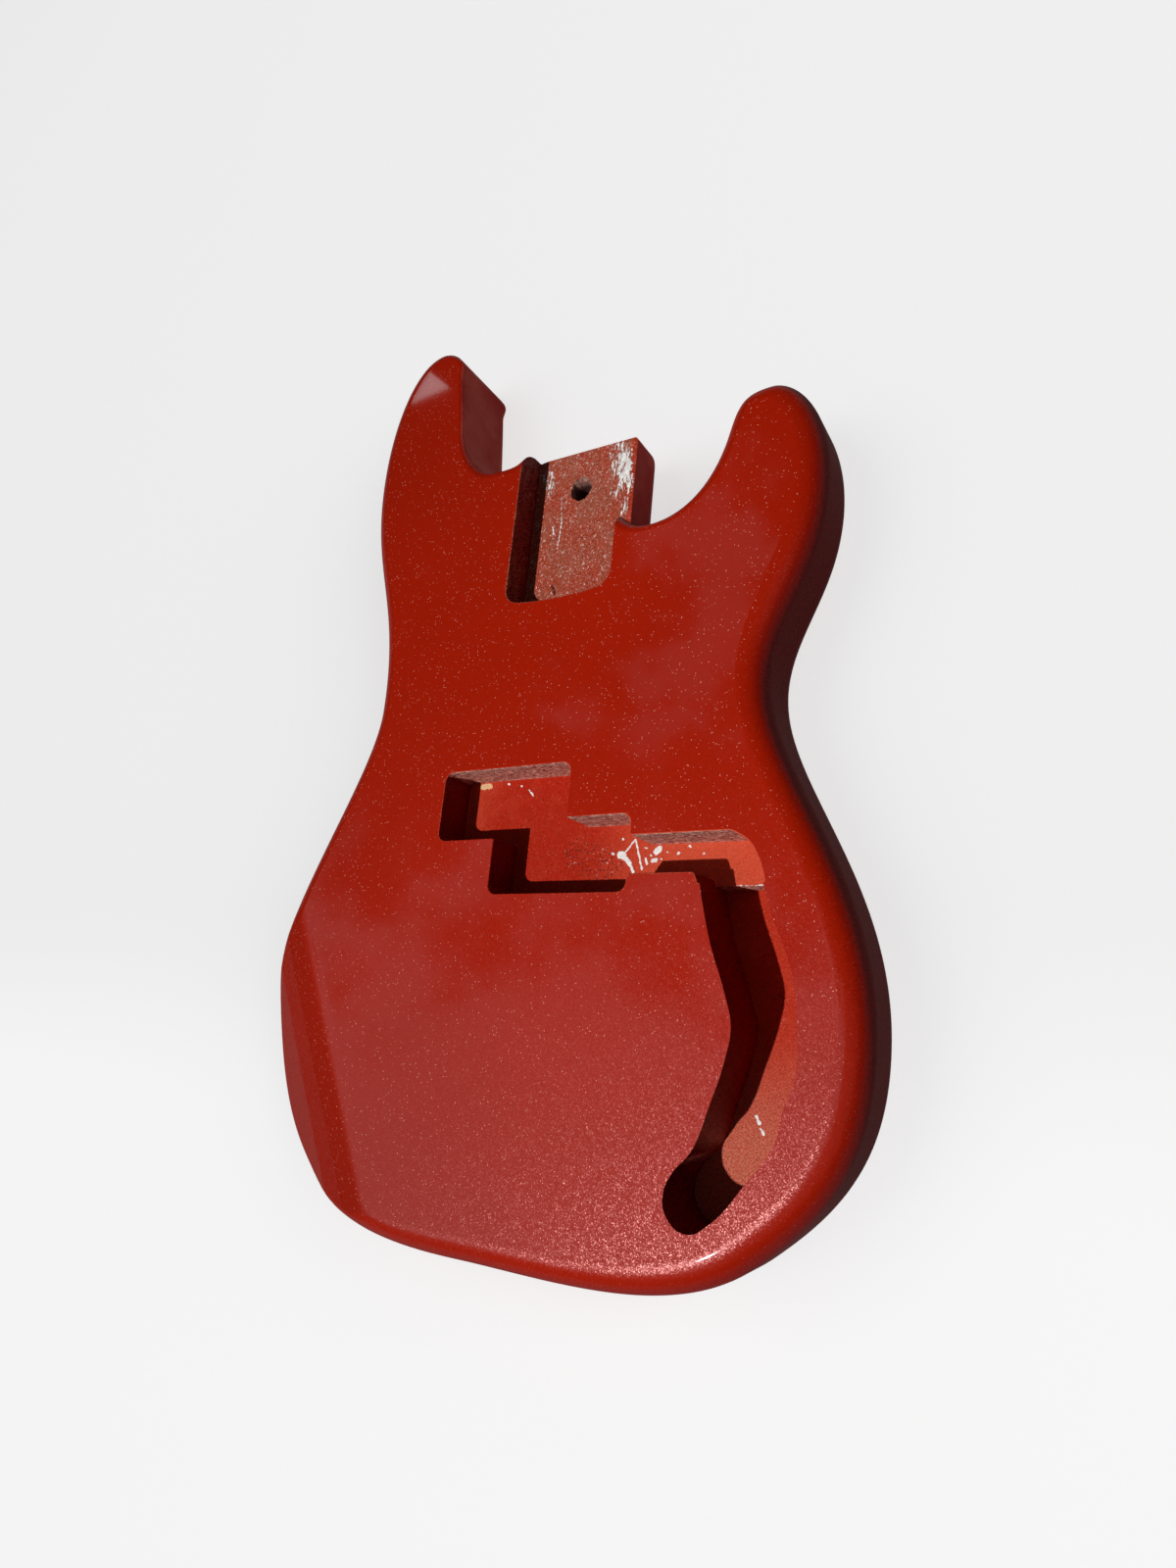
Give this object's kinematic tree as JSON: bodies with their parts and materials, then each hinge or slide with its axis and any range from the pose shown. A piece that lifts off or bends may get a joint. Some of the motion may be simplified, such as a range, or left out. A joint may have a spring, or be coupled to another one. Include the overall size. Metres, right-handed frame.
{
  "type": "electric bass guitar body",
  "caption": "Contoured solid-wood electric bass body with offset horns, routed for a bolt-on neck, a split pickup and front-mounted controls, in metallic red lacquer.",
  "frame": {"origin": "on the back face, under the middle of the body's length and width", "axes": "+Y along the neck, from the tail towards the neck pocket; +X to the treble side; +Z out of the front face"},
  "size_m": [0.328, 0.4967, 0.0444],
  "materials": {
    "red_lacquer": "metallic red lacquer with fine flakes under a gloss clear coat, over wood; thin dull overspray inside the routes"
  },
  "bodies": {
    "root": {"bass_wing_board": "red_lacquer", "bass_centre_board": "red_lacquer", "treble_centre_board": "red_lacquer", "treble_wing_board": "red_lacquer"}
  },
  "joints": []
}
